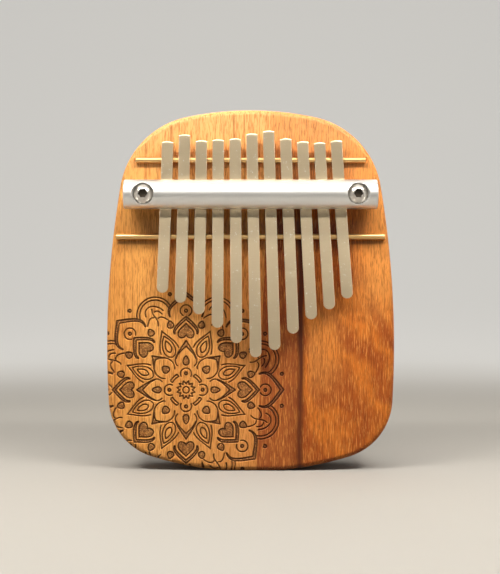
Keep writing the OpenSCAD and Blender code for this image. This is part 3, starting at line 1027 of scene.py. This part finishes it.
def make_screw(name, node, material):
    """Domed screw: one grid of rings from the socket's floor over the dome and down the thread.

    A ring of the socket is a hexagon, a ring of the dome a circle and a ring of the thread a
    circle whose radius waves with the height and the angle.
    """
    low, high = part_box(node)
    head = (high.x - low.x) / 2
    seat = BORE_SEAT
    dome = (DOME_HEIGHT**2 + head**2) / (2 * DOME_HEIGHT)
    angle = np.linspace(0, 2 * np.pi, 97)[:-1]
    sixth = np.pi / 3
    hexagon = SOCKET_HALF / np.cos((angle + sixth / 2) % sixth - sixth / 2)

    def dome_height(radius):
        """Height of the dome above the seat at a distance from its middle."""
        return np.sqrt(dome**2 - radius**2) - dome + DOME_HEIGHT

    floor = DOME_HEIGHT - SOCKET_DEPTH
    lip = hexagon + SOCKET_LIP
    level = floor + 0 * angle
    radii = [0 * angle, SOCKET_CONE_SHARE * hexagon, hexagon, hexagon]
    heights = [level - SOCKET_CONE, level, level, dome_height(lip) - SOCKET_LIP]
    for share in np.linspace(0, 1, 14):
        radii.append(lip + (head - lip) * share)
        heights.append(dome_height(radii[-1]))
    down = np.arange(0, (high.y - seat) - POINT_LENGTH, THREAD_PITCH / 8)
    wave = np.cos(2 * np.pi * down[:, None] / THREAD_PITCH + angle)
    fade = np.clip(down / THREAD_PITCH, 0, 1)[:, None]
    radii += list(SHANK_RADIUS - THREAD_DEPTH / 2 * fade * (1 + wave))
    heights += list(np.broadcast_to(-down[:, None], wave.shape))
    radii += [POINT_SHARE * SHANK_RADIUS + 0 * angle, 0 * angle]
    heights += [seat - high.y + 0 * angle] * 2
    ring_points = np.array(radii) * np.exp(1j * (angle + np.pi / 2))
    centre = complex((low.x + high.x) / 2, BAR_Z)
    shell = Shell()
    shell.add_grid(space(centre + ring_points, seat - np.array(heights)), closed=True)
    made = shell.piece(name, material, sharp=35.0)
    # Painted shade: the socket's colour darkens with its depth.
    spots = corners_of(made)
    plane = spots[:, 0] + 1j * spots[:, 2] - centre
    depth = dome_height(np.minimum(np.abs(plane), head)) - (seat - spots[:, 1])
    in_socket = (np.abs(plane) < lip.max()) & (spots[:, 1] < seat)
    paint(made, "painted_shade", in_socket * np.clip(depth / SOCKET_SHADE_DEPTH, 0, 1))
    return made


# The tines: size, rounded edges, domed tail, the filed slope at the tail's end with its fall, and
# how far the slope's first row follows the dome.
TINE_WIDTH = 6 * MM
TINE_THICKNESS = 1 * MM
TINE_BEVEL = 0.36 * MM
TAIL_RADIUS = 7 * MM
TAIL_FILED = 0.9 * MM
TAIL_FALL = 0.4 * MM
TAIL_DOME_START = 0.6

# Height of a tine's middle above the front where the bar presses it, and the softness of its bend
# there.
TINE_DIP = 2.2 * MM
TINE_BEND = 1.6 * MM


def tine_frame(name):
    """A tine's hinge point, its direction up the strip and its direction across, from the joints."""
    joints = {joint["name"]: joint for joint in frame["joints"]}
    flex = joints[name + "_flex"]
    slide = joints[name + "_tuning_slide"]
    return np.array(flex["pos_m"]), np.array(slide["axis"]), np.array(flex["axis"])


def tine_rise(along, bar, tail_rod, low, press):
    """Height of a tine's middle above the front: it dips under the bar between the two rods.

    Straight on each side of the bar, with the corner rounded as a hyperbola.
    """
    below = press / bar
    above = press / (tail_rod - bar)
    reach = along - bar
    bend = np.sqrt(reach**2 + TINE_BEND**2)
    return low + (above - below) / 2 * reach + (above + below) / 2 * bend


def tine_rows(tip, tail):
    """Rows along a strip: place, lead and spread round the tip, share of the tail's dome and fall.

    Rows near the tip lie on half circles, and the last rows on the tail's filed slope.
    """
    half = TINE_WIDTH / 2
    turn = np.linspace(0, np.pi / 2, 14)
    filed = np.sin(np.linspace(0, np.pi / 2, 7))
    body = np.linspace(tip + half, tail - 2 * TAIL_FILED, 70)
    end = tail - TAIL_FILED * (1 - filed)
    place = np.concatenate([np.full(len(turn), tip + half), body[1:], end])
    after_tip = np.zeros(len(place) - len(turn))
    before_end = np.zeros(len(place) - len(end))
    lead = np.append(np.cos(turn), after_tip)
    spread = np.append(np.sin(turn), after_tip + 1)
    dome = np.append(before_end, np.linspace(TAIL_DOME_START, 1, len(end)))
    fall = np.append(before_end, 1 - np.sqrt(1 - filed**2))
    return [values[:, None] for values in (place, lead, spread, dome, fall)]


def tine_section():
    """Section of a strip with its rounded edges: places aside and heights, front first and then back."""
    half = TINE_WIDTH / 2
    thick = TINE_THICKNESS / 2
    bevel = np.linspace(0, np.pi / 2, 5)[1:]
    side_x = half - TINE_BEVEL * (1 - np.sin(bevel))
    side_y = thick - TINE_BEVEL * (1 - np.cos(bevel))
    flat_x = np.linspace(-1, 1, 9) * (half - TINE_BEVEL)
    face = np.full(len(flat_x), thick)
    x = np.concatenate([-side_x[::-1], flat_x, side_x])
    y = np.concatenate([side_y[::-1], face, side_y])
    return np.append(x, x[::-1]), np.append(y, -y[::-1])


def make_tine(name, material):
    """Steel strip: a bevelled section carried from the rounded tip along the bent line to the tail."""
    hinge, up, across = tine_frame(name)
    blade_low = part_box(name + "_blade")[0]
    root_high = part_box(name + "_root")[1]
    upper = (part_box("upper_rod")[0].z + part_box("upper_rod")[1].z) / 2
    heights = (blade_low.z, root_high.z, BAR_Z, upper)
    tip, tail, bar, tail_rod = [(height - hinge[2]) / up[2] for height in heights]
    place, lead, spread, dome, fall = tine_rows(tip, tail)
    x, y = tine_section()
    half = TINE_WIDTH / 2
    size = half - TINE_BEVEL * (1 - np.clip(np.abs(x) - half + TINE_BEVEL, 0, None) / TINE_BEVEL)
    round_off = TAIL_RADIUS - np.sqrt(TAIL_RADIUS**2 - x**2)
    along = place - lead * size - dome * round_off
    aside = spread * x
    y = y - TAIL_FALL * fall * (y > 0)
    rest = -hinge[1] + FRONT_Y
    rise = tine_rise(along, bar, tail_rod, TINE_DIP, rest - TINE_DIP) + y
    points = hinge + along[..., None] * up + aside[..., None] * across
    points[..., 1] = FRONT_Y - rise
    shell = Shell()
    shell.add_grid(points, closed=True)
    count = len(x) // 2
    shell.add_grid(np.stack([points[-1][:count], points[-1][:count - 1:-1]]))
    made = shell.piece(name + "_strip", material, sharp=25.0)
    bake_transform(made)
    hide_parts(name + "_root", name + "_blade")
    return made


# Studio


# Rays that see the floor's own colour; the light that it throws up is kept low.
SEEING_RAYS = ("Is Camera Ray", "Is Glossy Ray", "Is Transmission Ray")

# Distances in millimetres over which the floor's glow sets in round the object, and over which it
# turns from the studio's tone to the backdrop's behind the object.
GLOW_REACH = (200.0, 1000.0)
BACKDROP_REACH = (100.0, 600.0)

# The lamps' colour, and for each lamp its name, its azimuth and elevation in degrees, its distance,
# width and height in metres, and its power in watts. The side lamps are mirrored.
LAMP_COLOUR = (1.0, 0.94, 0.85)
LAMPS = (
    ("high_softbox", 0, 57, 0.5, (1.05, 0.035), 3.8),
    ("top_softbox", 0, 96, 0.6, (0.9, 0.3), 1.1),
    ("back_softbox", 180, 42, 0.8, (0.9, 0.5), 2.2),
)
GLOSS_LAMP = ("front_softbox", 0, 27.5, 0.6, (0.9, 0.05), 1.2)
SIDE_LAMPS = (
    ("wing_softbox", 45, 47.4, 0.55, (0.25, 0.035), 1.5),
    ("side_softbox", 86, 16, 0.9, (0.1, 0.44), 1.1),
    ("edge_softbox", 64, 10, 0.9, (0.08, 0.36), 0.3),
)


def seeing(pen):
    """1 for the rays that show a surface to the camera, directly or in metal, and 0 for the rest."""
    rays = [pen.node("LightPath", output=name) for name in SEEING_RAYS]
    return pen.math("MAXIMUM", pen.math("MAXIMUM", rays[0], rays[1]), rays[2])


def make_floor(colours):
    """Pale floor that sweeps up into a backdrop: a line, a quarter circle and a line carried sideways.

    Away from the lamps it glows a little for the rays that see it: pale behind the object, dim elsewhere.
    """
    front, back, radius, height, half_width = -6.0, 1.4, 0.6, 6.0, 8.0
    turn = np.linspace(0, np.pi / 2, 24)
    y = np.concatenate([[front], back - radius + radius * np.sin(turn), [back]])
    z = np.concatenate([[0], radius * (1 - np.cos(turn)), [height]])
    x = np.linspace(-half_width, half_width, 5)
    points = np.stack(np.broadcast_arrays(x[:, None], y[None, :], z[None, :]), axis=-1)
    material, pen, output = new_material("studio_floor")
    place = object_point(pen, (1, 1, 1))
    across = pen.node("SeparateXYZ", {}, {0: place})
    along = pen.node("SeparateXYZ", {}, {0: place}, output=1)
    reach = pen.math("SQRT", across * across + along * along)
    seen = seeing(pen)
    tone = seen.mix(rgba(colours.floor_bounce), rgba(colours.floor))
    far = along.between(*BACKDROP_REACH).mix(rgba(colours.dim), rgba(colours.backdrop))
    glow = (reach.between(*GLOW_REACH) * seen).mix((0.0, 0.0, 0.0, 1.0), far)
    inputs = {"Base Color": tone, "Roughness": 0.85, "Emission Color": glow, "Emission Strength": 1.0}
    surface(pen, output, inputs)
    mesh = bpy.data.meshes.new("studio_floor")
    mesh.from_pydata(points.reshape(-1, 3), [], grid_faces(*points.shape[:2]))
    mesh.materials.append(material)
    mesh.shade_smooth()
    made = bpy.data.objects.new("studio_floor", mesh)
    bpy.context.scene.collection.objects.link(made)


def add_softbox(name, azimuth, elevation, distance, size, power, gloss_only=False):
    """Rectangular lamp at an azimuth, elevation and distance from the body's middle, which it faces.

    The angles are in degrees. A lamp for gloss only shows as a sheen and casts no plain light.
    """
    lamp = bpy.data.lights.new(name, "AREA")
    lamp.shape = "RECTANGLE"
    lamp.size, lamp.size_y = size
    lamp.energy = power
    lamp.color = LAMP_COLOUR
    made = bpy.data.objects.new(name, lamp)
    turn, tilt = math.radians(azimuth), math.radians(elevation)
    back = Vector((math.sin(turn) * math.cos(tilt), -math.cos(turn) * math.cos(tilt), math.sin(tilt)))
    middle = Vector((0, FRONT_Y, HEIGHT / 2))
    made.location = middle + distance * back
    made.rotation_euler = (-back).to_track_quat("-Z", "Y").to_euler()
    made.visible_camera = False
    made.visible_diffuse = not gloss_only
    bpy.context.scene.collection.objects.link(made)


def make_world(colours):
    """Even surroundings: nearly dark as light on the object, and dim grey where they are seen."""
    world = bpy.data.worlds.new("studio_world")
    world.use_nodes = True
    world.node_tree.nodes.clear()
    pen = Socket(world.node_tree)
    output = world.node_tree.nodes.new("ShaderNodeOutputWorld")
    tone = seeing(pen).mix(rgba(colours.surroundings), rgba(colours.dim))
    light = pen.node("Background", {}, {"Color": tone, "Strength": 1.0})
    world.node_tree.links.new(light.out, output.inputs["Surface"])
    bpy.context.scene.world = world


def make_camera(sizes):
    """Level camera in front of the body, at the height of the picture's middle."""
    view = bpy.data.cameras.new("camera")
    view.sensor_width = 36.0
    view.lens = view.sensor_width * sizes.camera_distance / sizes.picture_height
    view.clip_start, view.clip_end = 0.01, 20.0
    made = bpy.data.objects.new("camera", view)
    made.location = (sizes.camera_x, FRONT_Y - sizes.camera_distance, sizes.camera_height)
    made.rotation_euler = (math.pi / 2, 0, 0)
    bpy.context.scene.collection.objects.link(made)
    bpy.context.scene.camera = made


# Settings


def length(name, description, default):
    """A length that a user may change."""
    return FloatProperty(
        name=name, description=description, default=default,
        precision=5, subtype="DISTANCE", unit="LENGTH")


def colour(name, description, default):
    """A colour that a user may change."""
    return FloatVectorProperty(
        name=name, description=description, default=default,
        size=3, min=0, max=1, subtype="COLOR")


class KalimbaSizes(bpy.types.PropertyGroup):
    """Sizes of the ornament and of the view."""

    ornament_centre: FloatVectorProperty(
        name="Ornament centre", description="Sideways place and height of the ornament's middle",
        default=(-33.6 * MM, 42.1 * MM), size=2, precision=5, subtype="TRANSLATION", unit="LENGTH")
    ornament_radius: length("Ornament radius", "From the ornament's middle to its outer points", 50.9 * MM)
    line_width: length("Line width", "Width of a carved line", 1.14 * MM)
    line_depth: length("Line depth", "Depth of a carved line", 0.5 * MM)
    camera_distance: length("Camera distance", "Distance from the camera to the front face", 560 * MM)
    camera_height: length("Camera height", "Height of the camera above the floor", 95.7 * MM)
    camera_x: length("Camera place", "Sideways place of the camera", -0.3 * MM)
    picture_height: length("Picture height", "Height of the view at the front face", 298.5 * MM)


class KalimbaColours(bpy.types.PropertyGroup):
    """Colours of the finishes and of the studio."""

    golden_pale: colour("Golden, pale", "Pale bands of the golden plank", (0.93, 0.46, 0.122))
    golden_deep: colour("Golden, deep", "Deep bands of the golden plank", (0.79, 0.345, 0.078))
    golden_fleck: colour("Golden, flecks", "Short flecks of the golden plank", (0.46, 0.152, 0.03))
    golden_blush: colour("Golden, blush", "Redder part of the golden plank", (0.70, 0.27, 0.075))
    # Painted sheen at the top of the golden plank.
    golden_painted_sheen: colour("Golden, top", "Paler top of the golden plank", (0.92, 0.50, 0.215))
    golden_line: colour("Golden, lines", "Grain lines of the golden plank", (0.36, 0.11, 0.02))
    red_pale: colour("Red, pale", "Pale patches of the reddish plank", (0.72, 0.205, 0.025))
    red_deep: colour("Red, deep", "Deep patches of the reddish plank", (0.39, 0.085, 0.013))
    red_strip: colour("Red, strip", "Darker strip beside the seam", (0.36, 0.095, 0.025))
    red_line: colour("Red, lines", "Grain lines of the reddish plank", (0.2, 0.042, 0.008))
    red_streak: colour("Red, streak", "Dark streak of the reddish plank", (0.10, 0.022, 0.006))
    # Painted sheen at the top of the reddish plank.
    red_painted_sheen: colour("Red, top", "Paler top of the reddish plank", (0.80, 0.36, 0.12))
    red_fleck: colour("Red, flecks", "Pale flecks of the reddish plank", (0.88, 0.36, 0.08))
    burnt: colour("Burnt", "Floor of the carved lines", (0.034, 0.011, 0.004))
    scorched: colour("Scorched", "Fields that the carving darkens", (0.13, 0.047, 0.014))
    brass: colour("Brass", "Bright brass", (0.68, 0.47, 0.22))
    tine: colour("Tines", "Ground spring steel", (0.82, 0.69, 0.48))
    screw: colour("Screws", "Bright steel of the screws", (0.64, 0.61, 0.57))
    bar: colour("Bar", "Satin aluminium", (0.74, 0.74, 0.73))
    floor: colour("Floor", "Floor near the object", (0.38, 0.372, 0.355))
    backdrop: colour("Backdrop", "Backdrop behind the object", (0.52, 0.51, 0.485))
    dim: colour("Studio", "Floor and surroundings away from the lamps", (0.10, 0.098, 0.092))
    floor_bounce: colour("Floor's bounce", "Colour of what the floor throws up", (0.08, 0.077, 0.071))
    surroundings: colour("Surroundings", "Light that comes from all round", (0.02, 0.02, 0.02))


class KalimbaSettings(bpy.types.PropertyGroup):
    """All settings of the kalimba."""

    sizes: PointerProperty(type=KalimbaSizes)
    colours: PointerProperty(type=KalimbaColours)


# Operators


def dress(node, material):
    """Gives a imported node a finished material."""
    node.data.materials.clear()
    node.data.materials.append(material)


class KALIMBA_OT_planks(bpy.types.Operator):
    """Carve the golden and the reddish plank"""

    bl_idname = "kalimba.planks"
    bl_label = "Planks"

    def execute(self, context):
        settings = context.scene.kalimba
        drawing = ornament(settings.sizes)
        planks = ((-1, "left_plank", "golden_wood", golden_wood), (1, "right_plank", "red_wood", red_wood))
        for side, node, slot, finish in planks:
            made = make_plank(side, node + "_carved", finish(settings.colours), drawing, settings.sizes)
            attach(made, "sound_body")
            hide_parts(node)
        return {"FINISHED"}


class KALIMBA_OT_back_plate(bpy.types.Operator):
    """Finish the wooden back plate"""

    bl_idname = "kalimba.back_plate"
    bl_label = "Back plate"

    def execute(self, context):
        dress(frame["nodes"]["back_plate"], back_wood(context.scene.kalimba.colours))
        return {"FINISHED"}


class KALIMBA_OT_rods(bpy.types.Operator):
    """Lay the two brass rods in their grooves"""

    bl_idname = "kalimba.rods"
    bl_label = "Rods"

    def execute(self, context):
        colours = context.scene.kalimba.colours
        brass = metal("brass", colours.brass, **METALS["brass"])
        for node in ROD_NODES:
            made = make_rod(node + "_brass", node, brass)
            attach(made, "sound_body")
            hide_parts(node)
        for node in ("left_insert", "right_insert"):
            dress(frame["nodes"][node], brass)
        return {"FINISHED"}


class KALIMBA_OT_clamp(bpy.types.Operator):
    """Turn the clamp bar and its two screws"""

    bl_idname = "kalimba.clamp"
    bl_label = "Clamp"

    def execute(self, context):
        colours = context.scene.kalimba.colours
        satin = metal("satin_aluminium", colours.bar, **METALS["satin_aluminium"])
        steel = metal("screw_steel", colours.screw, **METALS["screw_steel"])
        bar = make_bar(satin)
        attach(bar, "sound_body")
        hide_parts("clamp_bar")
        for node in SCREW_NODES:
            made = make_screw(node + "_domed", node, steel)
            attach(made, "sound_body")
            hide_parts(node)
        return {"FINISHED"}


class KALIMBA_OT_tines(bpy.types.Operator):
    """Lay the eleven steel tines over the rods"""

    bl_idname = "kalimba.tines"
    bl_label = "Tines"

    def execute(self, context):
        colours = context.scene.kalimba.colours
        steel = metal("tine_steel", colours.tine, **METALS["tine_steel"])
        for name in TINE_NAMES:
            make_tine(name, steel)
        return {"FINISHED"}


class KALIMBA_OT_stage(bpy.types.Operator):
    """Set up floor, lamps, surroundings and camera"""

    bl_idname = "kalimba.stage"
    bl_label = "Stage"

    def execute(self, context):
        settings = context.scene.kalimba
        context.scene.view_settings.view_transform = "Standard"
        make_floor(settings.colours)
        make_world(settings.colours)
        for lamp in LAMPS:
            add_softbox(*lamp)
        add_softbox(*GLOSS_LAMP, gloss_only=True)
        for name, azimuth, *rest in SIDE_LAMPS:
            for side in (-1, 1):
                add_softbox(name, side * azimuth, *rest)
        make_camera(settings.sizes)
        return {"FINISHED"}


OPERATORS = (
    KALIMBA_OT_planks,
    KALIMBA_OT_back_plate,
    KALIMBA_OT_rods,
    KALIMBA_OT_clamp,
    KALIMBA_OT_tines,
    KALIMBA_OT_stage,
)


class KALIMBA_PT_panel(bpy.types.Panel):
    """Sidebar panel with the kalimba's pieces and settings"""

    bl_label = "Kalimba"
    bl_idname = "KALIMBA_PT_panel"
    bl_space_type = "VIEW_3D"
    bl_region_type = "UI"
    bl_category = "Kalimba"

    def draw(self, context):
        for operator in OPERATORS:
            self.layout.operator(operator.bl_idname)
        settings = context.scene.kalimba
        for group in (settings.sizes, settings.colours):
            for name in group.bl_rna.properties.keys():
                if name not in ("rna_type", "name"):
                    self.layout.prop(group, name)


CLASSES = (KalimbaSizes, KalimbaColours, KalimbaSettings, *OPERATORS, KALIMBA_PT_panel)


def register():
    for made in CLASSES:
        bpy.utils.register_class(made)
    bpy.types.Scene.kalimba = PointerProperty(type=KalimbaSettings)


def unregister():
    del bpy.types.Scene.kalimba
    for made in reversed(CLASSES):
        bpy.utils.unregister_class(made)


def main():
    """Builds every piece in order."""
    register()
    bpy.ops.kalimba.planks()
    bpy.ops.kalimba.back_plate()
    bpy.ops.kalimba.rods()
    bpy.ops.kalimba.clamp()
    bpy.ops.kalimba.tines()
    bpy.ops.kalimba.stage()


if __name__ == "__main__":
    main()
